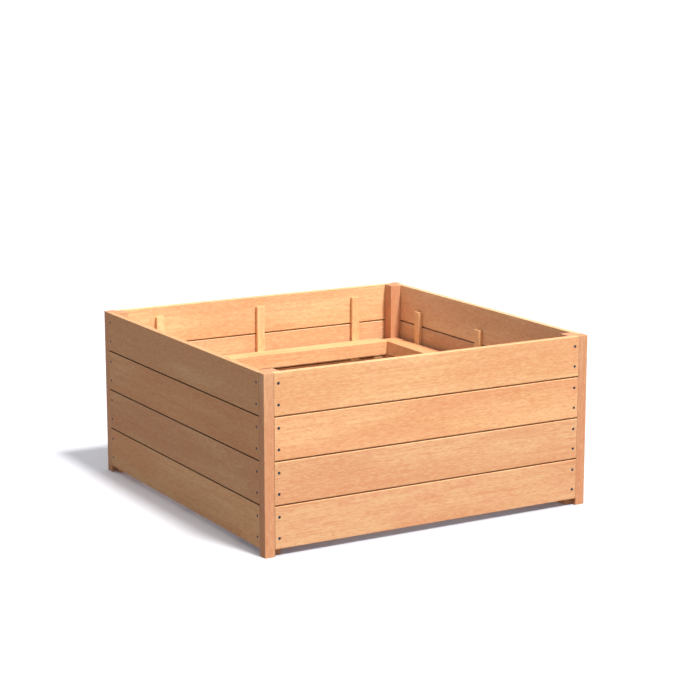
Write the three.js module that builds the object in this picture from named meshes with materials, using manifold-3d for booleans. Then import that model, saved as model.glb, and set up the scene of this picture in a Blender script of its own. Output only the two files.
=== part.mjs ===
// A square timber planter box for the garden, open at the top and at the bottom.
// Four rebated corner posts stand on the ground and carry four walls of horizontal boards,
// which are tongued and grooved so that no soil runs out through their open shadow joints.
// Upright battens tie the boards of each wall together, and a heavy timber frame at mid
// height keeps the walls from bulging. Millimetres, +Z up, origin on the ground at the
// middle of the box. The front wall faces -Y.

import * as THREE from 'three';
import { mergeVertices } from 'three/addons/utils/BufferGeometryUtils.js';
import Module from 'manifold-3d';

const wasm = await Module();
wasm.setup();

// ---- driving dimensions -------------------------------------------------------------

const side = 1200; // outside width and depth of the box
const fit = 0.3; // space left between pieces that touch

const boardRows = 4;
const boardHeight = 134;
const boardThickness = 20;
const boardGap = 5; // shadow joint between two boards
const tongueThickness = 6;
const tongueReach = 8; // how far a tongue enters the board above it
const boardEndGap = 0.7; // joint between a board's end and the post
const footClearance = 23; // height of the lowest board above the ground
const boardPitch = boardHeight + boardGap;
const height = footClearance + boardRows * boardPitch - boardGap;

const postSize = 64;
const postFace = 35; // width of the post that shows beside the board ends

const battenWidth = 30;
const battenThickness = 15;
const battenLength = 470;
const battenSpacing = 400;
const battensPerWall = 3;
// On the front and back walls the battens end this far below the rim. On the side walls they
// stand level with the lower edge of the lowest board instead.
const battenDepthBelowRim = 36;

const frameDepthBelowRim = 200;
const frameHeight = 50;
const frameWidth = 69;
const frameTop = height - frameDepthBelowRim;
const frameBottom = frameTop - frameHeight;
const frameOffset = boardThickness + fit + battenThickness + fit; // from the box's outer face

// Small curves on the long edges of each kind of timber.
const boardEasing = 2;
const postEasing = 2;
const battenEasing = 1;
const frameEasing = 1.5;
const postEndChamfer = 0.7;
const battenEndChamfer = 0.7;
const easingSteps = 3; // flats round one eased edge

const wallScrew = {
  headRadius: 4.6,
  headDepth: 3,
  shankRadius: 2.1,
  length: 40,
  tipLength: 6,
  sunk: 0.4, // how far the head lies below the surface
};
const wallScrewInset = 50; // from the box's outer face to the screw
const wallScrewEdge = boardHeight / 4; // from a board's long edge to the screw

const frameScrew = {
  headRadius: 5.5,
  headDepth: 3.5,
  shankRadius: 2.8,
  length: 110,
  tipLength: 8,
  sunk: 0.5,
};
const frameScrewSpacing = 18; // the two screws of a frame corner, one above the other

const postScrew = {
  headRadius: 4.6,
  headDepth: 3,
  shankRadius: 2.1,
  length: 50,
  tipLength: 6,
  sunk: 7,
};
const postScrewReach = 25; // from the post to where the screw enters the frame's underside
const screwSides = 10;
const headRim = 0.5; // upright edge of a screw's head, above its cone

// ---- materials ----------------------------------------------------------------------

const timber = (color) => new THREE.MeshStandardMaterial({ color, roughness: 0.6, metalness: 0 });
const steel = (color) => new THREE.MeshStandardMaterial({ color, roughness: 0.4, metalness: 0.9 });
const boardWood = () => timber(0xd9986b);
const postWood = () => timber(0xcf9069);
const battenWood = () => timber(0xe0a878);
const frameWood = () => timber(0xdb9f6e);
const screwSteel = () => steel(0x4a5560);

// ---- solids -------------------------------------------------------------------------

// A closed geometry as a solid that can be cut.
function toSolid(geometry) {
  const bare = geometry.clone();
  bare.deleteAttribute('normal');
  bare.deleteAttribute('uv');
  const merged = mergeVertices(bare);
  const corners = merged.index.array;
  const triangles = [];
  for (let i = 0; i < corners.length; i += 3) {
    const [a, b, c] = corners.slice(i, i + 3);
    const hasArea = a !== b && b !== c && c !== a;
    if (hasArea) triangles.push(a, b, c);
  }
  const mesh = new wasm.Mesh({
    numProp: 3,
    vertProperties: new Float32Array(merged.attributes.position.array),
    triVerts: new Uint32Array(triangles),
  });
  return new wasm.Manifold(mesh);
}

// What is left of a body when every cutter has been taken out of it.
function cut(body, cutters) {
  const solid = cutters.reduce((rest, cutter) => rest.subtract(toSolid(cutter)), toSolid(body));
  const { vertProperties, triVerts } = solid.getMesh();
  const geometry = new THREE.BufferGeometry();
  geometry.setAttribute('position', new THREE.BufferAttribute(vertProperties, 3));
  geometry.setIndex(new THREE.BufferAttribute(triVerts, 1));
  geometry.computeVertexNormals();
  return geometry;
}

// A closed outline through [x, y, easing] corners, each rounded off over its easing.
function easedOutline(corners) {
  const shape = new THREE.Shape();
  const points = corners.map(([x, y]) => new THREE.Vector2(x, y));
  corners.forEach(([x, y, easing], index) => {
    const here = points[index];
    const previous = points[(index + corners.length - 1) % corners.length];
    const next = points[(index + 1) % corners.length];
    const start = previous.clone().sub(here).setLength(easing).add(here);
    const end = next.clone().sub(here).setLength(easing).add(here);
    if (index === 0) shape.moveTo(start.x, start.y);
    else shape.lineTo(start.x, start.y);
    if (easing > 0) shape.quadraticCurveTo(x, y, end.x, end.y);
  });
  shape.closePath();
  return shape;
}

function easedRectangle(left, bottom, width, tall, easing) {
  return easedOutline([
    [left, bottom, easing],
    [left + width, bottom, easing],
    [left + width, bottom + tall, easing],
    [left, bottom + tall, easing],
  ]);
}

// A bar along X, centred on X = 0. Its outline is drawn in the Y-Z plane.
function barAlongX(outline, length) {
  const bar = new THREE.ExtrudeGeometry(outline, {
    depth: length,
    bevelEnabled: false,
    curveSegments: easingSteps,
  });
  bar.translate(0, 0, -length / 2);
  const outlineToYZ = new THREE.Matrix4().makeBasis(
    new THREE.Vector3(0, 1, 0),
    new THREE.Vector3(0, 0, 1),
    new THREE.Vector3(1, 0, 0),
  );
  return bar.applyMatrix4(outlineToYZ);
}

// An upright bar between two heights, both ends chamfered. Its outline is drawn in the X-Y plane.
function uprightBar(outline, bottom, top, endChamfer) {
  const bar = new THREE.ExtrudeGeometry(outline, {
    depth: top - bottom - 2 * endChamfer,
    bevelEnabled: true,
    bevelThickness: endChamfer,
    bevelSize: endChamfer,
    bevelOffset: -endChamfer,
    bevelSegments: 1,
    curveSegments: easingSteps,
  });
  return bar.translate(0, 0, bottom + endChamfer);
}

// A turned solid along +Y from a profile of [radius, distance] points.
function turned(profile) {
  const points = profile.map(([radius, distance]) => new THREE.Vector2(radius, distance));
  return new THREE.LatheGeometry(points, screwSides);
}

// A countersunk screw along +Y, driven into wood whose surface is at Y = 0.
function screwGeometry({ headRadius, headDepth, shankRadius, length, tipLength, sunk }) {
  return turned([
    [0, sunk],
    [headRadius, sunk],
    [headRadius, sunk + headRim],
    [shankRadius, sunk + headDepth],
    [shankRadius, sunk + length - tipLength],
    [0, sunk + length],
  ]);
}

// The hole that such a screw sits in, carried on in front of the wood's surface.
function screwHole({ headRadius, headDepth, shankRadius, length, sunk }) {
  const inFront = -2 * headRadius;
  return turned([
    [0, inFront],
    [headRadius + fit, inFront],
    [headRadius + fit, sunk + headRim + fit],
    [shankRadius + fit, sunk + headDepth + fit],
    [shankRadius + fit, sunk + length + fit],
    [0, sunk + length + fit],
  ]);
}

// ---- places -------------------------------------------------------------------------

// A point that a screw enters the wood at, and the direction it is driven in.
function place(x, y, z, ...direction) {
  return {
    position: new THREE.Vector3(x, y, z),
    direction: new THREE.Vector3(...direction).normalize(),
  };
}

function aim(object, { position, direction }) {
  object.position.copy(position);
  object.quaternion.setFromUnitVectors(new THREE.Vector3(0, 1, 0), direction);
  object.updateMatrix();
  return object;
}

function screwHoles(screw, places) {
  return places.map((spot) => screwHole(screw).applyMatrix4(aim(new THREE.Object3D(), spot).matrix));
}

// Everything below is placed in the frame of one wall: the wall runs along X and its outer
// face is at Y = -side / 2. Every corner post is placed with the wall that lies to its +X
// side, in the frame of its own corner: the box's outer corner is at X = Y = 0 there.
const outerFace = -side / 2;
const ends = [-1, 1];
const boardBottoms = Array.from({ length: boardRows }, (_, row) => footClearance + row * boardPitch);
const frameOuterFace = outerFace + frameOffset;
const frameMiddle = (frameTop + frameBottom) / 2;
const frameScrewLevels = ends.map((end) => frameMiddle + (end * frameScrewSpacing) / 2);

// A side beam reaches from post to post, and a cross beam from side beam to side beam. Two
// screws pass through a side beam into each cross beam, where the side beam's end is clear
// of the post. A slanted screw out of the side beam's underside holds that end on the post.
const sideBeamLength = side - 2 * (postSize + fit);
const crossBeamLength = side - 2 * (frameOffset + frameWidth + fit);
const frameScrewOffset = (postSize + frameOffset + frameWidth) / 2;
const postScrewOffset = (frameOffset + postSize) / 2;

function boardScrewPlaces(bottom) {
  const levels = [bottom + wallScrewEdge, bottom + boardHeight - wallScrewEdge];
  return ends.flatMap((end) =>
    levels.map((level) => place(end * (side / 2 - wallScrewInset), outerFace, level, 0, 1, 0)),
  );
}

function postWallScrewPlaces() {
  const levels = boardBottoms.flatMap((bottom) => [
    bottom + wallScrewEdge,
    bottom + boardHeight - wallScrewEdge,
  ]);
  return levels.flatMap((level) => [
    place(wallScrewInset, 0, level, 0, 1, 0),
    place(0, wallScrewInset, level, 1, 0, 0),
  ]);
}

function sideBeamCornerScrewPlaces() {
  const fromMiddle = side / 2 - frameScrewOffset;
  return ends.flatMap((end) =>
    frameScrewLevels.map((level) => place(end * fromMiddle, frameOuterFace, level, 0, 1, 0)),
  );
}

function crossBeamCornerScrewPlaces() {
  const fromMiddle = side / 2 - frameOffset;
  const across = outerFace + frameScrewOffset;
  return ends.flatMap((end) =>
    frameScrewLevels.map((level) => place(end * fromMiddle, across, level, -end, 0, 0)),
  );
}

function sideBeamPostScrewPlaces() {
  const fromMiddle = side / 2 - postSize - postScrewReach;
  const across = outerFace + postScrewOffset;
  return ends.map((end) => place(end * fromMiddle, across, frameBottom, end, 0, 1));
}

function postFrameScrewPlace(sideBeamAlongX) {
  const away = postSize + postScrewReach;
  return sideBeamAlongX
    ? place(away, postScrewOffset, frameBottom, -1, 0, 1)
    : place(postScrewOffset, away, frameBottom, 0, -1, 1);
}

// ---- pieces -------------------------------------------------------------------------

// A square post with its two outer faces rebated for the ends of the boards.
function postGeometry(sideBeamAlongX) {
  const rebate = boardThickness + fit;
  const outline = easedOutline([
    [0, 0, postEasing],
    [postFace, 0, boardEasing],
    [postFace, rebate, 0],
    [postSize, rebate, 0],
    [postSize, postSize, postEasing],
    [rebate, postSize, 0],
    [rebate, postFace, 0],
    [0, postFace, boardEasing],
  ]);
  return cut(uprightBar(outline, 0, height, postEndChamfer), [
    ...screwHoles(wallScrew, postWallScrewPlaces()),
    ...screwHoles(postScrew, [postFrameScrewPlace(sideBeamAlongX)]),
  ]);
}

// A board's outline: a groove below and a tongue above, where another board meets it.
function boardOutline(bottom, hasGroove, hasTongue) {
  const top = bottom + boardHeight;
  const innerFace = outerFace + boardThickness;
  const tongueFront = outerFace + (boardThickness - tongueThickness) / 2;
  const tongueBack = tongueFront + tongueThickness;
  const tongueTop = top + boardGap + tongueReach;
  const grooveTop = bottom + tongueReach + fit;
  const groove = [
    [tongueFront - fit, bottom, 0],
    [tongueFront - fit, grooveTop, 0],
    [tongueBack + fit, grooveTop, 0],
    [tongueBack + fit, bottom, 0],
  ];
  const tongue = [
    [tongueBack, top, 0],
    [tongueBack, tongueTop, 0],
    [tongueFront, tongueTop, 0],
    [tongueFront, top, 0],
  ];
  return easedOutline([
    [outerFace, bottom, boardEasing],
    ...(hasGroove ? groove : []),
    [innerFace, bottom, boardEasing],
    [innerFace, top, boardEasing],
    ...(hasTongue ? tongue : []),
    [outerFace, top, boardEasing],
  ]);
}

function boardGeometry(bottom, row) {
  const outline = boardOutline(bottom, row > 0, row < boardRows - 1);
  const length = side - 2 * (postFace + boardEndGap);
  return cut(barAlongX(outline, length), screwHoles(wallScrew, boardScrewPlaces(bottom)));
}

function battenGeometry(isSideWall) {
  const face = outerFace + boardThickness + fit;
  const bottom = isSideWall ? footClearance : height - battenDepthBelowRim - battenLength;
  const outline = easedRectangle(-battenWidth / 2, face, battenWidth, battenThickness, battenEasing);
  return uprightBar(outline, bottom, bottom + battenLength, battenEndChamfer);
}

function frameOutline() {
  return easedRectangle(frameOuterFace, frameBottom, frameWidth, frameHeight, frameEasing);
}

function sideBeamGeometry() {
  return cut(barAlongX(frameOutline(), sideBeamLength), [
    ...screwHoles(frameScrew, sideBeamCornerScrewPlaces()),
    ...screwHoles(postScrew, sideBeamPostScrewPlaces()),
  ]);
}

function crossBeamGeometry() {
  const holes = screwHoles(frameScrew, crossBeamCornerScrewPlaces());
  return cut(barAlongX(frameOutline(), crossBeamLength), holes);
}

function namedMesh(name, geometry, material) {
  const mesh = new THREE.Mesh(geometry, material);
  mesh.name = name;
  return mesh;
}

function screws(name, screw, places) {
  return places.map((spot, index) =>
    aim(namedMesh(`${name}_${index + 1}`, screwGeometry(screw), screwSteel()), spot),
  );
}

// ---- assembly -----------------------------------------------------------------------

function boards(wall) {
  return boardBottoms.map((bottom, row) =>
    namedMesh(`${wall}_board_${row + 1}`, boardGeometry(bottom, row), boardWood()),
  );
}

function battens(wall, isSideWall) {
  return Array.from({ length: battensPerWall }, (_, index) => {
    const geometry = battenGeometry(isSideWall);
    const batten = namedMesh(`${wall}_batten_${index + 1}`, geometry, battenWood());
    batten.position.x = (index - (battensPerWall - 1) / 2) * battenSpacing;
    return batten;
  });
}

function frameBeam(wall, isSideWall) {
  const geometry = isSideWall ? sideBeamGeometry() : crossBeamGeometry();
  const beam = namedMesh(`${wall}_frame_beam`, geometry, frameWood());
  if (!isSideWall) return [beam];
  return [
    beam,
    ...screws(`${wall}_frame_corner_screw`, frameScrew, sideBeamCornerScrewPlaces()),
    ...screws(`${wall}_frame_post_screw`, postScrew, sideBeamPostScrewPlaces()),
  ];
}

function cornerPost(name, isSideWall) {
  const post = namedMesh(name, postGeometry(isSideWall), postWood());
  post.position.set(outerFace, outerFace, 0);
  return post;
}

const planter = new THREE.Group();
const walls = [
  { wall: 'front', post: 'front_left_post', isSideWall: false },
  { wall: 'right', post: 'front_right_post', isSideWall: true },
  { wall: 'back', post: 'back_right_post', isSideWall: false },
  { wall: 'left', post: 'back_left_post', isSideWall: true },
];
walls.forEach(({ wall, post, isSideWall }, quarter) => {
  const group = new THREE.Group();
  group.rotation.z = (quarter * Math.PI) / 2;
  group.add(cornerPost(post, isSideWall));
  group.add(...boards(wall));
  group.add(...battens(wall, isSideWall));
  group.add(...frameBeam(wall, isSideWall));
  planter.add(group);
});

export default planter;
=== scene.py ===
"""A square timber planter box on a white studio floor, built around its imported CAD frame.

Every timber is cut again from its CAD box with finer eased edges, its screw holes are bored,
and the screws that hold the walls are added. Metres, +Z up, the front wall faces -Y.
"""

import math
import random

import bmesh
import bpy
from mathutils import Matrix, Vector


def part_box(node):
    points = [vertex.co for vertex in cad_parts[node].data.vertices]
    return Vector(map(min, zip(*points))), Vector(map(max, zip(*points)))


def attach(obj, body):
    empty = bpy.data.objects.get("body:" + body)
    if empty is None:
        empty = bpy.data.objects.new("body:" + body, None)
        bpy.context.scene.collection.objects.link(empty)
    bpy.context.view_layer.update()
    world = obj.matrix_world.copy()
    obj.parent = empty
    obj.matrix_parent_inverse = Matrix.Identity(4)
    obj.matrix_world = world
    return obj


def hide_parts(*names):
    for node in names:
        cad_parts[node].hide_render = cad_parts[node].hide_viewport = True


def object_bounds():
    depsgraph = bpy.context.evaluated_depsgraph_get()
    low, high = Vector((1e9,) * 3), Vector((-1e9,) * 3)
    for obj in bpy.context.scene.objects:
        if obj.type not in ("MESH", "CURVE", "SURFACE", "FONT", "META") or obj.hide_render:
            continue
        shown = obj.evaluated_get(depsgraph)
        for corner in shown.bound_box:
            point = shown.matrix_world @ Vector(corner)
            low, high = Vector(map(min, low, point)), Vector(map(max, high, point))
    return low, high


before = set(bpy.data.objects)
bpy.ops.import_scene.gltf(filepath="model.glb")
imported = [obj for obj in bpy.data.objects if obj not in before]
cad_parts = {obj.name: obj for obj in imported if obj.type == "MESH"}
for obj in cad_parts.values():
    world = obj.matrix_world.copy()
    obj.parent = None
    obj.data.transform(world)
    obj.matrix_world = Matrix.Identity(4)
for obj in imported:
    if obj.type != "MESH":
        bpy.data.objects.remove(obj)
cad_low, cad_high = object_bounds()

MM = 0.001

# ---- sizes and places ---------------------------------------------------------------

# Each wall is the front wall turned about Z by one more quarter turn, and each post stands
# at the left end of its wall, seen from outside.
WALLS = ("front", "right", "back", "left")
POSTS = ("front_left_post", "front_right_post", "back_right_post", "back_left_post")
SIDE_WALLS = ("right", "left")
BOARD_ROWS = 4
BATTENS_PER_WALL = 3

ARC_STEPS = 5  # faces round an eased edge
END_STEPS = 3  # faces round the eased end of a bar
SHARP_TIMBER_EDGE = 40  # degrees between two faces, past which their edge isn't smoothed
SHARP_SCREW_EDGE = 38
BOARD_EASING = 2 * MM
POST_EASING = 2 * MM
BATTEN_EASING = 1 * MM
BEAM_EASING = 1.5 * MM
BOARD_END_EASING = 0.5 * MM
POST_END_EASING = 0.7 * MM
BATTEN_END_EASING = 0.7 * MM
BEAM_END_EASING = 0.6 * MM
POST_FACE = 35 * MM  # width of the post that shows beside the board ends
REBATE = 20.3 * MM  # depth of the step that the board ends lie in
BOARD_GAP = 5 * MM
TONGUE_THICKNESS = 6 * MM
TONGUE_REACH = 8 * MM  # how far a tongue enters the board above it
TONGUE_FIT = 0.3 * MM

# Screws: the radii of the head and the shank, and the sizes and places along the axis.
WALL_SCREW = {
    "head": 4.6 * MM,
    "head_depth": 3 * MM,
    "shank": 2.1 * MM,
    "length": 40 * MM,
    "sunk": 0.4 * MM,
}
FRAME_SCREW = {
    "head": 5.5 * MM,
    "head_depth": 3.5 * MM,
    "shank": 2.8 * MM,
    "length": 110 * MM,
    "sunk": 0.5 * MM,
}
POST_SCREW = {
    "head": 4.6 * MM,
    "head_depth": 3 * MM,
    "shank": 2.1 * MM,
    "length": 50 * MM,
    "sunk": 7 * MM,
}
WALL_SCREW_INSET = 50 * MM  # from the box's corner to the screws of a board's end
FRAME_CORNER_SCREWS = 4
HOLE_CLEARANCE = 0.3 * MM
HOLE_SIDES = 32
RECESS_REACH = 0.52  # of the head's radius
RECESS_HALF_WIDTH = 0.15
RECESS_DEPTH = 0.62  # of the head's depth
HEAD_RIM = 0.5 * MM
THREAD_PITCH = 2.4 * MM
THREAD_DEPTH = 0.26  # of the shank's radius
THREAD_START = 0.28  # of the screw's length
THREAD_STEPS = 4  # rings to one turn of the thread
TIP_LENGTH = 3  # in shank radii
TIP_ROUNDING = 0.08  # of the shank's radius, left at the tip
TIP_BLUNTNESS = 0.3 * MM
TIP_RADIUS = 0.05 * MM
SCREW_SIDES = 16

# The camera stands where the box's corners line up as they do in a 100 mm view of it.
CAMERA_PLACE = Vector((-3.224, -5.627, 1.813))
CAMERA_HEADING = 30.15  # degrees from +Y towards +X
CAMERA_DIP = 11.61  # degrees below the horizon
CAMERA_LENS = 100.3

SUN_TRAVEL = Vector((-0.124, 0.567, -1.0))
SUN_STRENGTH = 6.20
SUN_COLOUR = (1.0, 0.97, 0.93)
SUN_SOFTNESS = 8.0  # degrees across
SKY = (0.607, 0.615, 0.635)
FLOOR_SUN_STRENGTH = 2.62  # the floor has a sun of its own, weak enough to keep its soft shadow
FLOOR_GLOW = 0.036
FLOOR_WHITE = (0.87, 0.88, 0.92)
# The cooler grey of the shade painted onto the floor under the box's walls.
FLOOR_PAINTED_SHADE = (0.61, 0.66, 0.76)
FLOOR_DARK = (0.18, 0.18, 0.18)
FLOOR_IN_BOX = (0.50, 0.50, 0.50)
UNDER_WALL = 45 * MM  # from the box's outside to the middle of the band under its walls
BOUNCE_DEPTH = 1 * MM  # of the dark floor under the white one
BAND_CORE = 20 * MM  # from the band's middle to where it starts to fade
GLOW_EDGE = 20 * MM  # outside the box, from where the white floor glows in full
BACKDROP_GLOW = 1.05
MATT = 0.9  # roughness
MOTTLING = 0.985  # how bright the darker patches of the floor are, beside the rest
STUDIO_REACH = 80.0
FLOOR_SIDES = 96
DOME_SIDES = 64
DOME_LEVELS = 32

# ---- tones --------------------------------------------------------------------------

# A tone multiplies the red, green and blue of a timber's wood. Some tones also paint in light:
# the paler boards high in the back and right walls and the pale battens stand in for light that
# reaches the inside of the box, and the left wall's tones are tinted to the colour of its shade.

HONEY = (1.08, 1.11, 1.06)
AMBER = (1.05, 1.01, 0.96)
BLUSH = (0.98, 0.97, 0.97)
TAN = (0.95, 0.91, 0.90)
RUSSET = (0.96, 0.88, 0.79)
STRAW = (1.03, 0.97, 0.88)
UMBER = (0.92, 0.86, 0.81)
OAK = (0.95, 0.93, 0.86)
SAND = (0.90, 0.95, 1.03)
WHEAT = (1.08, 1.19, 1.24)
CREAM = (1.13, 1.19, 1.15)
PEARL = (1.10, 1.19, 1.25)
POST_PINK = (0.91, 0.84, 0.86)
# Paler, to paint in the light that reaches the battens inside the box.
BATTEN_CREAM = (1.20, 1.34, 1.29)
FRAME_GOLD = (1.08, 1.03, 0.96)

# The boards of each wall, the lowest one first.
BOARD_TONES_AND_PAINTED_LIGHT = {
    "front": (TAN, BLUSH, AMBER, HONEY),
    "right": (HONEY, TAN, SAND, PEARL),
    "back": (AMBER, HONEY, WHEAT, CREAM),
    "left": (STRAW, UMBER, RUSSET, OAK),
}

# How much shade is painted into the joints between the boards of each wall; most on the left wall,
# which is turned from the sun.
JOINT_PAINTED_SHADE = {"front": 0.24, "right": 0.50, "back": 0.30, "left": 0.80}

# How far the edges of each kind of timber are rubbed pale, at the least and at the most.
EDGE_WEAR = {
    "board_wood": (0.45, 0.80),
    "post_wood": (0.25, 0.55),
    "batten_wood": (0.05, 0.20),
    "frame_wood": (0.25, 0.55),
}

# ---- meshes -------------------------------------------------------------------------


def eased_outline(corners, inset):
    """Points round a right-angled outline of (x, y, easing) corners, anticlockwise, moved inwards."""
    points = []
    count = len(corners)
    for index, (x, y, easing) in enumerate(corners):
        here = Vector((x, y))
        before = (here - Vector(corners[index - 1][:2])).normalized()
        after = (Vector(corners[(index + 1) % count][:2]) - here).normalized()
        inward = Vector((-before.y, before.x)) + Vector((-after.y, after.x))
        corner = here + inward * inset
        is_outer = before.x * after.y - before.y * after.x > 0
        radius = easing - inset if is_outer else 0
        if radius <= 0:
            points.append(corner)
            continue
        centre = corner + (after - before) * radius
        for step in range(ARC_STEPS + 1):
            angle = math.pi / 2 * step / ARC_STEPS
            points.append(centre + (before * math.sin(angle) - after * math.cos(angle)) * radius)
    return points


def bar_rings(corners, start, end, end_easing):
    """The outline repeated along a bar from start to end, drawn in where the ends are eased."""
    near = []
    far = []
    for step in range(END_STEPS + 1):
        angle = math.pi / 2 * step / END_STEPS
        inset = end_easing * (1 - math.sin(angle))
        distance = end_easing * (1 - math.cos(angle))
        near.append((start + distance, inset))
        far.insert(0, (end - distance, inset))
    rings = []
    for along, inset in near + far:
        outline = eased_outline(corners, inset)
        rings.append([(point.x, point.y, along) for point in outline])
    return rings


def loft(mesh, rings, placing):
    """A skin over rings of points, closed at both ends."""
    loops = [[mesh.verts.new(placing @ Vector(point)) for point in ring] for ring in rings]
    for near, far in zip(loops, loops[1:]):
        for index in range(len(near)):
            after = (index + 1) % len(near)
            mesh.faces.new((near[index], near[after], far[after], far[index]))
    mesh.faces.new(reversed(loops[0]))
    mesh.faces.new(loops[-1])


def ring(radius, depth, sides):
    """A circle round the Z axis."""
    angles = [2 * math.pi * index / sides for index in range(sides)]
    return [(radius * math.cos(angle), radius * math.sin(angle), depth) for angle in angles]


def to_object(name, mesh):
    """A new object from a bmesh, with its faces pointing out."""
    bmesh.ops.remove_doubles(mesh, verts=mesh.verts, dist=1e-7)
    bmesh.ops.recalc_face_normals(mesh, faces=mesh.faces)
    data = bpy.data.meshes.new(name)
    mesh.to_mesh(data)
    mesh.free()
    thing = bpy.data.objects.new(name, data)
    bpy.context.scene.collection.objects.link(thing)
    return thing


def take_out(body, cutter):
    """Cuts one object out of another and removes the cutter."""
    boolean = body.modifiers.new("bore", "BOOLEAN")
    boolean.operation = "DIFFERENCE"
    boolean.solver = "EXACT"
    boolean.object = cutter
    evaluated = body.evaluated_get(bpy.context.evaluated_depsgraph_get())
    cut = bpy.data.meshes.new_from_object(evaluated)
    body.modifiers.remove(boolean)
    uncut = body.data
    body.data = cut
    bpy.data.meshes.remove(uncut)
    cut.name = body.name
    bpy.data.objects.remove(cutter)


def smooth(thing, sharp_angle):
    """Shades rounded edges smoothly and leaves flat faces flat."""
    thing.data.shade_smooth()
    thing.data.set_sharp_from_angle(angle=math.radians(sharp_angle))
    weighted = thing.modifiers.new("flat_faces", "WEIGHTED_NORMAL")
    weighted.keep_sharp = True


def aimed(entry, direction):
    """Places something drawn along +Z so that it starts at entry and runs along direction."""
    return Matrix.Translation(entry) @ direction.to_track_quat("Z", "Y").to_matrix().to_4x4()


def hole_rings(screw):
    """The countersunk hole of a screw, carried on in front of the wood."""
    head = screw["head"] + HOLE_CLEARANCE
    shank = screw["shank"] + HOLE_CLEARANCE
    rim = screw["sunk"] + HEAD_RIM + HOLE_CLEARANCE
    neck = screw["sunk"] + screw["head_depth"] + HOLE_CLEARANCE
    bottom = screw["sunk"] + screw["length"] + HOLE_CLEARANCE
    steps = [(head, -2 * head), (head, rim), (shank, neck), (shank, bottom)]
    return [ring(radius, depth, HOLE_SIDES) for radius, depth in steps]


def recess_ring(screw, share, depth):
    """The outline of a cross recess in a screw's head."""
    reach = screw["head"] * RECESS_REACH * share
    half = screw["head"] * RECESS_HALF_WIDTH * share
    quarter = [Vector((reach, 0)), Vector((reach, half)), Vector((half, half)), Vector((half, reach))]
    points = []
    for turn in range(4):
        turned = Matrix.Rotation(math.pi / 2 * turn, 2)
        points += [turned @ point for point in quarter]
    return [(point.x, point.y, depth) for point in points]


def thread_ring(screw, depth, taper):
    """A ring round the threaded part of a screw, where the ridge winds round as depth grows."""
    points = []
    for index in range(SCREW_SIDES):
        turn = index / SCREW_SIDES
        phase = (depth / THREAD_PITCH - turn) % 1.0
        ridge = max(0.0, 1 - 4 * min(phase, 1 - phase))
        radius = screw["shank"] * (1 - THREAD_DEPTH + THREAD_DEPTH * ridge) * taper
        angle = 2 * math.pi * turn
        points.append((radius * math.cos(angle), radius * math.sin(angle), depth))
    return points


def screw_rings(screw):
    """A countersunk screw from the floor of its cross recess, over its head, to its tip.

    The head's face is at depth 0, and its outline swells a little at the rim and the neck.
    """
    head = screw["head"]
    length = screw["length"]
    rings = [
        recess_ring(screw, 0.45, screw["head_depth"] * RECESS_DEPTH),
        recess_ring(screw, 0.85, screw["head_depth"] * 0.4),
        recess_ring(screw, 1.0, 0.1 * MM),
        recess_ring(screw, 1.08, 0),
        ring(head * 0.86, 0, SCREW_SIDES),
        ring(head * 0.97, 0.12 * MM, SCREW_SIDES),
        ring(head, HEAD_RIM, SCREW_SIDES),
        ring(screw["shank"] * 1.15, screw["head_depth"] * 0.93, SCREW_SIDES),
        ring(screw["shank"], screw["head_depth"] * 1.15, SCREW_SIDES),
        ring(screw["shank"], length * THREAD_START, SCREW_SIDES),
    ]
    tip = TIP_LENGTH * screw["shank"]
    depth = length * THREAD_START + THREAD_PITCH / THREAD_STEPS
    while depth < length - TIP_BLUNTNESS:
        taper = min(1.0, TIP_ROUNDING + (length - depth) / tip)
        rings.append(thread_ring(screw, depth, taper))
        depth += THREAD_PITCH / THREAD_STEPS
    rings.append(ring(TIP_RADIUS, length, SCREW_SIDES))
    return rings


# ---- materials ----------------------------------------------------------------------


class Look:
    """The nodes of one material, laid down by calls that give back their output sockets."""

    def __init__(self, name):
        self.material = bpy.data.materials.new(name)
        self.material.use_nodes = True
        self.tree = self.material.node_tree
        self.shader = self.tree.nodes["Principled BSDF"]

    def node(self, kind, inputs, **settings):
        node = self.tree.nodes.new("ShaderNode" + kind)
        for key, value in settings.items():
            setattr(node, key, value)
        for key, value in inputs.items():
            self.feed(node.inputs[key], value)
        return node

    def feed(self, socket, value):
        if isinstance(value, bpy.types.NodeSocket):
            self.tree.links.new(value, socket)
        else:
            socket.default_value = value

    def math(self, operation, *values):
        return self.node("Math", dict(enumerate(values)), operation=operation).outputs[0]

    def vector(self, operation, *values):
        return self.node("VectorMath", dict(enumerate(values)), operation=operation).outputs[0]

    def length(self, value):
        return self.node("VectorMath", {0: value}, operation="LENGTH").outputs["Value"]

    def split(self, value):
        return list(self.node("SeparateXYZ", {0: value}).outputs)

    def join(self, x, y, z):
        return self.node("CombineXYZ", {0: x, 1: y, 2: z}).outputs[0]

    def noise(self, place, scale, detail=2.0, roughness=0.5):
        """Noise between 0 and 1, with its own scale along each axis."""
        stretched = self.vector("MULTIPLY", place, scale)
        inputs = {"Vector": stretched, "Scale": 1.0, "Detail": detail, "Roughness": roughness}
        return self.node("TexNoise", inputs).outputs[0]

    def between(self, value, low, high, start=0.0, end=1.0):
        """A smooth step from start, where value is low, to end, where it is high."""
        inputs = {"Value": value, "From Min": low, "From Max": high, "To Min": start, "To Max": end}
        return self.node("MapRange", inputs, interpolation_type="SMOOTHSTEP").outputs[0]

    def mix(self, share, first, second, blend="MIX"):
        inputs = {0: share, 6: first, 7: second}
        return self.node("Mix", inputs, data_type="RGBA", blend_type=blend).outputs[2]

    def bump(self, height, strength, distance):
        inputs = {"Height": height, "Strength": strength, "Distance": distance}
        return self.node("Bump", inputs).outputs[0]


def opaque(red, green, blue):
    return (red, green, blue, 1.0)


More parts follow.
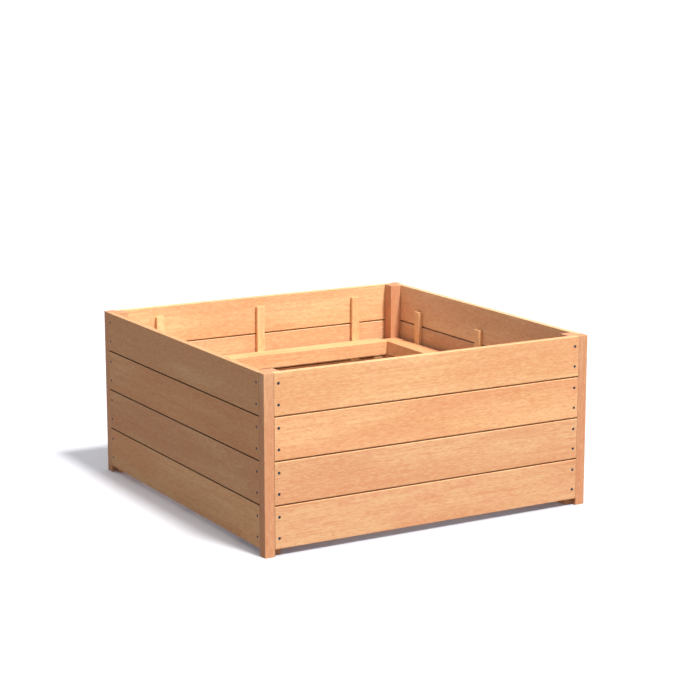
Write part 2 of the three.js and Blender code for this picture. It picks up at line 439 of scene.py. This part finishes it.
PALE_WOOD = opaque(0.686, 0.434, 0.232)
WARM_WOOD = opaque(0.637, 0.342, 0.173)
ROSY_WOOD = opaque(0.621, 0.298, 0.165)
RED_WOOD = opaque(0.541, 0.225, 0.102)
DEEP_WOOD = opaque(0.385, 0.145, 0.059)
RUBBED_WOOD = opaque(0.740, 0.530, 0.285)
# The painted shade inside the joints between boards.
JOINT_SHADE_WOOD = opaque(0.044, 0.023, 0.013)

DARK_STEEL = opaque(0.050, 0.092, 0.140)
LIGHT_STEEL = opaque(0.110, 0.170, 0.230)
PITTED_STEEL = opaque(0.025, 0.028, 0.035)


def face_distances(look, place, low, high):
    """How far a point is from the sides of a timber's box, along each axis."""
    middle = (low + high) / 2
    half = (high - low) / 2
    from_middle = look.vector("ABSOLUTE", look.vector("SUBTRACT", place, middle))
    return look.split(look.vector("SUBTRACT", half, from_middle))


def edge_distance(look, distances):
    """How far a point on a box's surface is from the nearest edge of the box."""
    x, y, z = distances
    nearer = look.math("MINIMUM", x, y)
    farther = look.math("MAXIMUM", x, y)
    return look.math("MAXIMUM", nearer, look.math("MINIMUM", farther, z))


def place_in_log(look, draws, lengthwise):
    """A timber's own place in its log, from its parts along, across and through the grain.

    Gives back where the place starts, the place itself, and the place with the grain's sway.
    """
    start = [draws.uniform(-20, 20) for _ in range(3)]
    slope = math.radians(draws.uniform(-0.8, 0.8))
    moved = look.vector("ADD", look.join(*lengthwise), start)
    turn = {"Vector": moved, "Center": start, "Angle": slope}
    log = look.node("VectorRotate", turn, rotation_type="Z_AXIS").outputs[0]
    sway = look.math("SUBTRACT", look.noise(log, (1.6, 7, 7), 1.0), 0.5)
    sway = look.math("MULTIPLY", sway, 0.014)
    grain = look.vector("ADD", log, look.join(0.0, sway, look.math("MULTIPLY", sway, 0.6)))
    return start, log, grain


def growth_rings(look, draws, start, log, grain):
    """Growth rings round a pith outside the timber, between 0 and 1."""
    pith = [0.0, draws.uniform(0.05, 0.16), draws.uniform(-0.10, 0.10)]
    middle = [first + second for first, second in zip(start, pith)]
    from_pith = look.vector("SUBTRACT", grain, middle)
    from_pith = look.vector("MULTIPLY", from_pith, (0.0, 1.0, 1.0))
    wobble = look.math("MULTIPLY", look.noise(log, (3, 14, 14), 3.0), 0.02)
    radius = look.math("ADD", look.length(from_pith), wobble)
    spacing = draws.uniform(0.007, 0.011)
    waves = look.math("SINE", look.math("MULTIPLY", radius, 2 * math.pi / spacing))
    return look.math("MULTIPLY_ADD", waves, 0.5, 0.5)


def timber_look(name, slot, grain_axis, low, high, tone_and_light, joints, joint_shade):
    """Planed light red hardwood, its grain along one axis of its box, with shade painted into its
    joints.
    """
    look = Look(name)
    draws = random.Random(name)
    place = look.node("TexCoord", {}).outputs["Object"]
    parts = look.split(place)
    lengthwise = [parts[(grain_axis + step) % 3] for step in range(3)]
    start, log, grain = place_in_log(look, draws, lengthwise)
    rings = growth_rings(look, draws, start, log, grain)
    streakiness = draws.uniform(0.35, 0.80)

    drift = look.noise(log, (1.3, 7, 7), 1.0)
    bands = look.noise(grain, (1.1, 22, 22), 3.0, 0.55)
    clouds = look.noise(log, (5, 20, 20), 4.0, 0.6)
    smudges = look.noise(grain, (6, 60, 60), 4.0, 0.66)
    streaks = look.noise(grain, (4, 200, 200), 3.0, 0.65)
    flecks = look.noise(grain, (45, 330, 330), 2.0, 0.75)
    pores = look.noise(grain, (45, 900, 900), 2.0, 0.6)
    fibres = look.noise(grain, (70, 3400, 3400), 2.0, 0.6)

    figure = look.math("MULTIPLY_ADD", rings, 0.16, look.between(bands, 0.34, 0.68, 0.05, 0.55))
    colour = look.mix(figure, PALE_WOOD, WARM_WOOD)
    colour = look.mix(look.between(drift, 0.38, 0.62, 0.0, 0.66), colour, RED_WOOD)
    colour = look.mix(look.between(clouds, 0.42, 0.66, 0.0, 1.1 - streakiness), colour, ROSY_WOOD)
    colour = look.mix(look.between(smudges, 0.50, 0.70, 0.0, 0.44), colour, RED_WOOD)
    colour = look.mix(look.between(streaks, 0.46, 0.68, 0.0, streakiness), colour, RED_WOOD)
    colour = look.mix(look.between(flecks, 0.49, 0.66, 0.0, 0.62), colour, RED_WOOD)
    colour = look.mix(look.between(flecks, 0.50, 0.35, 0.0, 0.50), colour, PALE_WOOD)
    colour = look.mix(look.between(pores, 0.58, 0.74, 0.0, 0.50), colour, DEEP_WOOD)
    colour = look.mix(look.between(fibres, 0.30, 0.70, 0.0, 0.14), colour, PALE_WOOD)

    # End grain drinks more oil and shows darker, and handled edges are rubbed pale.
    normal = look.split(look.node("NewGeometry", {}).outputs["Normal"])
    end_grain = look.between(look.math("ABSOLUTE", normal[grain_axis]), 0.75, 0.95)
    colour = look.mix(look.math("MULTIPLY", end_grain, 0.55), colour, RED_WOOD)
    distances = face_distances(look, place, low, high)
    edge = edge_distance(look, distances)
    wear = look.between(clouds, 0.35, 0.65, *EDGE_WEAR[slot])
    rubbed = look.math("MULTIPLY", look.between(edge, 0.3 * MM, 1.6 * MM, 1.0, 0.0), wear)
    colour = look.mix(rubbed, colour, RUBBED_WOOD)
    colour = look.mix(1.0, colour, opaque(*tone_and_light), "MULTIPLY")

    # Shade is painted dark onto the faces inside a shadow joint, away from its open edges.
    # A board's grain runs along X or Y, and the other of the two goes through its wall.
    for side in joints:
        through_wall = distances[1 - grain_axis]
        level = high.z if side > 0 else low.z
        inside = look.math("MULTIPLY", look.math("SUBTRACT", parts[2], level), side)
        painted_joint_shade = look.between(inside, -0.5 * MM, -0.1 * MM, 0.0, joint_shade)
        painted_joint_shade = look.math("MULTIPLY", painted_joint_shade, look.between(through_wall, 2 * MM, 5 * MM))
        colour = look.mix(painted_joint_shade, colour, JOINT_SHADE_WOOD)

    dullness = look.between(clouds, 0.3, 0.7, 0.50, 0.62)
    roughness = look.math("MULTIPLY_ADD", look.between(pores, 0.5, 0.75), 0.16, dullness)
    height = look.math("MULTIPLY", fibres, 0.45)
    height = look.math("MULTIPLY_ADD", look.between(pores, 0.56, 0.74), -1.0, height)
    height = look.math("MULTIPLY_ADD", streaks, 0.5, height)
    look.feed(look.shader.inputs["Base Color"], colour)
    look.feed(look.shader.inputs["Roughness"], roughness)
    look.feed(look.shader.inputs["Normal"], look.bump(height, 0.35, 0.25 * MM))
    look.shader.inputs["Specular IOR Level"].default_value = 0.30
    return look.material


def steel_look():
    """Dark zinc-plated steel with a dull bluish bloom and fine pits."""
    look = Look("screw_steel")
    place = look.node("TexCoord", {}).outputs["Object"]
    bloom = look.noise(place, (420, 420, 420), 4.0, 0.6)
    pitting = look.noise(place, (2600, 2600, 2600), 3.0, 0.6)
    colour = look.mix(look.between(bloom, 0.35, 0.68), DARK_STEEL, LIGHT_STEEL)
    colour = look.mix(look.between(pitting, 0.60, 0.76, 0.0, 0.6), colour, PITTED_STEEL)
    look.feed(look.shader.inputs["Base Color"], colour)
    look.feed(look.shader.inputs["Roughness"], look.between(bloom, 0.3, 0.7, 0.34, 0.56))
    look.feed(look.shader.inputs["Normal"], look.bump(pitting, 0.25, 0.06 * MM))
    look.shader.inputs["Metallic"].default_value = 0.85
    return look.material


# ---- pieces -------------------------------------------------------------------------

STEEL = steel_look()


def wall_turn(wall):
    return Matrix.Rotation(math.pi / 2 * WALLS.index(wall), 4, "Z")


def box_in_wall(node, turn):
    """A CAD node's box in the frame of its wall, where the wall's outer face is at the least Y."""
    back = turn.inverted()
    first, second = (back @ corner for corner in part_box(node))
    low = Vector([min(pair) for pair in zip(first, second)])
    high = Vector([max(pair) for pair in zip(first, second)])
    return low, high


def finish_piece(piece, nodes, material):
    piece.data.materials.append(material)
    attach(piece, "root")
    if nodes:
        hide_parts(*nodes)


def make_timber(node, bar, placing, holes, slot, tone_and_light, joints=(), joint_shade=0.0):
    """One timber: an outline along its grain, bored for its screws, in place of its CAD node."""
    mesh = bmesh.new()
    loft(mesh, bar, placing)
    timber = to_object(node + "_timber", mesh)
    if holes:
        bores = bmesh.new()
        for screw, entry, direction in holes:
            loft(bores, hole_rings(screw), aimed(entry, direction))
        take_out(timber, to_object(node + "_bores", bores))
    smooth(timber, SHARP_TIMBER_EDGE)
    low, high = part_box(node)
    if 1 in joints:
        high.z -= BOARD_GAP + TONGUE_REACH
    grain = (placing.to_3x3() @ Vector((0, 0, 1))).to_tuple()
    grain_axis = max(range(3), key=lambda axis: abs(grain[axis]))
    material = timber_look(node + "_wood", slot, grain_axis, low, high, tone_and_light, joints, joint_shade)
    finish_piece(timber, [node], material)
    return timber


def make_screw(name, screw, entry, direction, nodes=()):
    """One screw driven in at entry, its head sunk below the surface."""
    mesh = bmesh.new()
    loft(mesh, screw_rings(screw), aimed(entry + direction * screw["sunk"], direction))
    piece = to_object(name, mesh)
    smooth(piece, SHARP_SCREW_EDGE)
    finish_piece(piece, nodes, STEEL)


def rectangle(left, bottom, right, top, easing):
    return [(left, bottom, easing), (right, bottom, easing), (right, top, easing), (left, top, easing)]


# A bar's outline is drawn in its own X and Y, and its length runs along its own Z.
# Lying bars: X is the wall's Y, Y is the wall's Z, and Z is the wall's X.
LYING = Matrix(((0, 0, 1, 0), (1, 0, 0, 0), (0, 1, 0, 0), (0, 0, 0, 1)))
OUTWARD = Vector((0, -1, 0))


def board_joints(row):
    """The sides of a board, -1 below and 1 above, where another board meets it."""
    below = [-1] if row > 0 else []
    above = [1] if row < BOARD_ROWS - 1 else []
    return below + above


def board_box(wall, row):
    """A board's box in the frame of its wall, without its tongue."""
    low, high = box_in_wall(f"{wall}_board_{row + 1}", wall_turn(wall))
    if 1 in board_joints(row):
        high.z -= BOARD_GAP + TONGUE_REACH
    return low, high


def board_outline(low, high, joints):
    """A board's corners as (y, z, easing), with its groove below and its tongue above."""
    middle = (low.y + high.y) / 2
    tongue = TONGUE_THICKNESS / 2
    groove = tongue + TONGUE_FIT
    corners = [(low.y, low.z, BOARD_EASING)]
    if -1 in joints:
        roof = low.z + TONGUE_REACH + TONGUE_FIT
        corners += [(middle - groove, low.z, 0), (middle - groove, roof, 0)]
        corners += [(middle + groove, roof, 0), (middle + groove, low.z, 0)]
    corners += [(high.y, low.z, BOARD_EASING), (high.y, high.z, BOARD_EASING)]
    if 1 in joints:
        tip = high.z + BOARD_GAP + TONGUE_REACH
        corners += [(middle + tongue, high.z, 0), (middle + tongue, tip, 0)]
        corners += [(middle - tongue, tip, 0), (middle - tongue, high.z, 0)]
    corners.append((low.y, high.z, BOARD_EASING))
    return corners


def board_screw_levels(low, high):
    quarter = (high.z - low.z) / 4
    return low.z + quarter, high.z - quarter


def make_board(wall, row):
    turn = wall_turn(wall)
    node = f"{wall}_board_{row + 1}"
    low, high = board_box(wall, row)
    from_middle = cad_high.x - WALL_SCREW_INSET
    inwards = turn.to_3x3() @ -OUTWARD
    holes = [
        (WALL_SCREW, turn @ Vector((end * from_middle, low.y, level)), inwards)
        for end in (-1, 1)
        for level in board_screw_levels(low, high)
    ]
    joints = board_joints(row)
    corners = board_outline(low, high, joints)
    bar = bar_rings(corners, low.x, high.x, BOARD_END_EASING)
    tone_and_light = BOARD_TONES_AND_PAINTED_LIGHT[wall][row]
    make_timber(node, bar, turn @ LYING, holes, "board_wood", tone_and_light, joints, JOINT_PAINTED_SHADE[wall])
    for index, (screw, entry, direction) in enumerate(holes):
        make_screw(f"{node}_screw_{index + 1}", screw, entry, direction)


def make_post(node, wall):
    """A corner post in the frame of its own corner, rebated on both outer faces."""
    turn = wall_turn(wall)
    low, high = box_in_wall(node, turn)
    size = high.x - low.x
    corners = [
        (0, 0, POST_EASING),
        (POST_FACE, 0, BOARD_EASING),
        (POST_FACE, REBATE, 0),
        (size, REBATE, 0),
        (size, size, POST_EASING),
        (REBATE, size, 0),
        (REBATE, POST_FACE, 0),
        (0, POST_FACE, BOARD_EASING),
    ]
    corner = Matrix.Translation((low.x, low.y, 0))
    holes = []
    for row in range(BOARD_ROWS):
        for level in board_screw_levels(*board_box(wall, row)):
            along_x = turn @ corner @ Vector((WALL_SCREW_INSET, 0, level))
            along_y = turn @ corner @ Vector((0, WALL_SCREW_INSET, level))
            holes.append((WALL_SCREW, along_x, turn.to_3x3() @ Vector((0, 1, 0))))
            holes.append((WALL_SCREW, along_y, turn.to_3x3() @ Vector((1, 0, 0))))
    bar = bar_rings(corners, low.z, high.z, POST_END_EASING)
    make_timber(node, bar, turn @ corner, holes, "post_wood", POST_PINK)


def make_batten(wall, index):
    turn = wall_turn(wall)
    node = f"{wall}_batten_{index + 1}"
    low, high = box_in_wall(node, turn)
    corners = rectangle(low.x, low.y, high.x, high.y, BATTEN_EASING)
    bar = bar_rings(corners, low.z, high.z, BATTEN_END_EASING)
    make_timber(node, bar, turn, [], "batten_wood", BATTEN_CREAM)


def cad_screw(node, screw, turn, lean):
    """The entry point and direction of a CAD screw, from its box and the way that it leans."""
    low, high = box_in_wall(node, turn)
    direction = lean.normalized()
    tip = (low + high) / 2
    for axis in range(3):
        if direction[axis] > 0:
            tip[axis] = high[axis]
        if direction[axis] < 0:
            tip[axis] = low[axis]
    entry = tip - direction * (screw["length"] + screw["sunk"])
    return screw, turn @ entry, turn.to_3x3() @ direction


def side_beam_screws(wall):
    """The screws driven through a side beam, by node name."""
    turn = wall_turn(wall)
    found = {}
    for index in range(FRAME_CORNER_SCREWS):
        node = f"{wall}_frame_corner_screw_{index + 1}"
        found[node] = cad_screw(node, FRAME_SCREW, turn, -OUTWARD)
    for index, end in enumerate((-1, 1)):
        node = f"{wall}_frame_post_screw_{index + 1}"
        found[node] = cad_screw(node, POST_SCREW, turn, Vector((end, 0, 1)))
    return found


def cross_beam_holes():
    """The frame screws of both side beams, which run on into the ends of the cross beams."""
    driven = [hole for side in SIDE_WALLS for hole in side_beam_screws(side).values()]
    return [hole for hole in driven if hole[0] is FRAME_SCREW]


def make_beam(wall):
    turn = wall_turn(wall)
    node = f"{wall}_frame_beam"
    low, high = box_in_wall(node, turn)
    if wall in SIDE_WALLS:
        driven = side_beam_screws(wall)
        holes = list(driven.values())
    else:
        driven = {}
        holes = cross_beam_holes()
    corners = rectangle(low.y, low.z, high.y, high.z, BEAM_EASING)
    bar = bar_rings(corners, low.x, high.x, BEAM_END_EASING)
    make_timber(node, bar, turn @ LYING, holes, "frame_wood", FRAME_GOLD)
    for cad_node, (screw, entry, direction) in driven.items():
        make_screw(cad_node + "_fine", screw, entry, direction, [cad_node])


for wall, post in zip(WALLS, POSTS):
    make_post(post, wall)
    for row in range(BOARD_ROWS):
        make_board(wall, row)
    for index in range(BATTENS_PER_WALL):
        make_batten(wall, index)
    make_beam(wall)

# ---- studio -------------------------------------------------------------------------


def flat_look(name, colour):
    """A matt, faintly mottled surface, and the socket of its colour."""
    look = Look(name)
    place = look.node("TexCoord", {}).outputs["Object"]
    dust = look.noise(place, (2.0, 2.0, 2.0), 3.0, 0.5)
    darker = opaque(*(MOTTLING * part for part in colour))
    mottled = look.mix(dust, darker, opaque(*colour))
    look.feed(look.shader.inputs["Base Color"], mottled)
    look.shader.inputs["Roughness"].default_value = MATT
    look.shader.inputs["Specular IOR Level"].default_value = 0.0
    return look, mottled


def white_floor_look():
    """White ground that glows a little, but not in the box, with shade painted in grey close under its
    walls.
    """
    look, mottled = flat_look("floor_white", FLOOR_WHITE)
    place = look.node("TexCoord", {}).outputs["Object"]
    x, y, _ = look.split(look.vector("ABSOLUTE", place))
    from_middle = look.math("MAXIMUM", x, y)
    # The glow fades out at the box's walls, which paints shade close round the box.
    glow = look.between(from_middle, cad_high.x, cad_high.x + GLOW_EDGE, 0.0, FLOOR_GLOW)
    look.shader.inputs["Emission Color"].default_value = opaque(1, 1, 1)
    look.feed(look.shader.inputs["Emission Strength"], glow)
    # Shade is painted onto the floor in a band under the box's walls.
    from_band = look.math("ABSOLUTE", look.math("SUBTRACT", from_middle, cad_high.x - UNDER_WALL))
    painted_contact_shade = look.between(from_band, UNDER_WALL, BAND_CORE)
    look.feed(look.shader.inputs["Base Color"], look.mix(painted_contact_shade, mottled, opaque(*FLOOR_PAINTED_SHADE)))
    return look


def bounce_floor_look():
    """Dark ground that is lighter inside the box, where the sun gets in."""
    look, mottled = flat_look("floor_dark", FLOOR_DARK)
    place = look.node("TexCoord", {}).outputs["Object"]
    x, y, _ = look.split(look.vector("ABSOLUTE", place))
    inside = look.between(look.math("MAXIMUM", x, y), cad_high.x, cad_high.x - UNDER_WALL)
    look.feed(look.shader.inputs["Base Color"], look.mix(inside, mottled, opaque(*FLOOR_IN_BOX)))
    return look


def disc(name, height):
    mesh = bmesh.new()
    bmesh.ops.create_circle(mesh, cap_ends=True, radius=STUDIO_REACH, segments=FLOOR_SIDES)
    bmesh.ops.translate(mesh, verts=mesh.verts, vec=(0, 0, height))
    return to_object(name, mesh)


def make_floor():
    """A white floor that only the camera sees, and a darker one just under it that lights the box."""
    floor = disc("studio_floor", 0.0)
    floor.data.materials.append(white_floor_look().material)
    floor.visible_diffuse = False
    floor.visible_glossy = False
    floor.visible_shadow = False
    card = disc("bounce_floor", -BOUNCE_DEPTH)
    card.data.materials.append(bounce_floor_look().material)
    card.visible_camera = False
    card.visible_shadow = False
    return floor


def make_backdrop():
    """A white dome behind everything, which lights nothing."""
    mesh = bmesh.new()
    sides = {"u_segments": DOME_SIDES, "v_segments": DOME_LEVELS}
    bmesh.ops.create_uvsphere(mesh, radius=STUDIO_REACH, **sides)
    dome = to_object("studio_backdrop", mesh)
    look = Look("backdrop_white")
    look.shader.inputs["Base Color"].default_value = opaque(0, 0, 0)
    look.shader.inputs["Emission Color"].default_value = opaque(1, 1, 1)
    look.shader.inputs["Emission Strength"].default_value = BACKDROP_GLOW
    dome.data.materials.append(look.material)
    dome.visible_diffuse = False
    dome.visible_glossy = False
    dome.visible_shadow = False
    dome.visible_transmission = False


def make_sun(name, strength, colour, floor, floor_state):
    """A soft sun that either leaves the floor out or shines on the floor alone."""
    sun = bpy.data.lights.new(name, "SUN")
    sun.energy = strength
    sun.color = colour
    sun.angle = math.radians(SUN_SOFTNESS)
    lamp = bpy.data.objects.new(name, sun)
    lamp.rotation_euler = SUN_TRAVEL.to_track_quat("-Z", "Y").to_euler()
    bpy.context.scene.collection.objects.link(lamp)
    receivers = bpy.data.collections.new(name + "_receivers")
    receivers.objects.link(floor)
    receivers.collection_objects[0].light_linking.link_state = floor_state
    lamp.light_linking.receiver_collection = receivers


def make_light(floor):
    make_sun("key_light", SUN_STRENGTH, SUN_COLOUR, floor, "EXCLUDE")
    make_sun("floor_light", FLOOR_SUN_STRENGTH, (1.0, 1.0, 1.0), floor, "INCLUDE")
    world = bpy.data.worlds.new("studio")
    world.use_nodes = True
    world.node_tree.nodes["Background"].inputs["Color"].default_value = opaque(*SKY)
    bpy.context.scene.world = world


def make_camera():
    data = bpy.data.cameras.new("camera")
    data.lens = CAMERA_LENS
    data.clip_end = 4 * STUDIO_REACH
    camera = bpy.data.objects.new("camera", data)
    camera.location = CAMERA_PLACE
    camera.rotation_euler = (math.radians(90 - CAMERA_DIP), 0, math.radians(-CAMERA_HEADING))
    bpy.context.scene.collection.objects.link(camera)
    bpy.context.scene.camera = camera


white_floor = make_floor()
make_backdrop()
make_light(white_floor)
make_camera()
bpy.context.scene.view_settings.view_transform = "Standard"
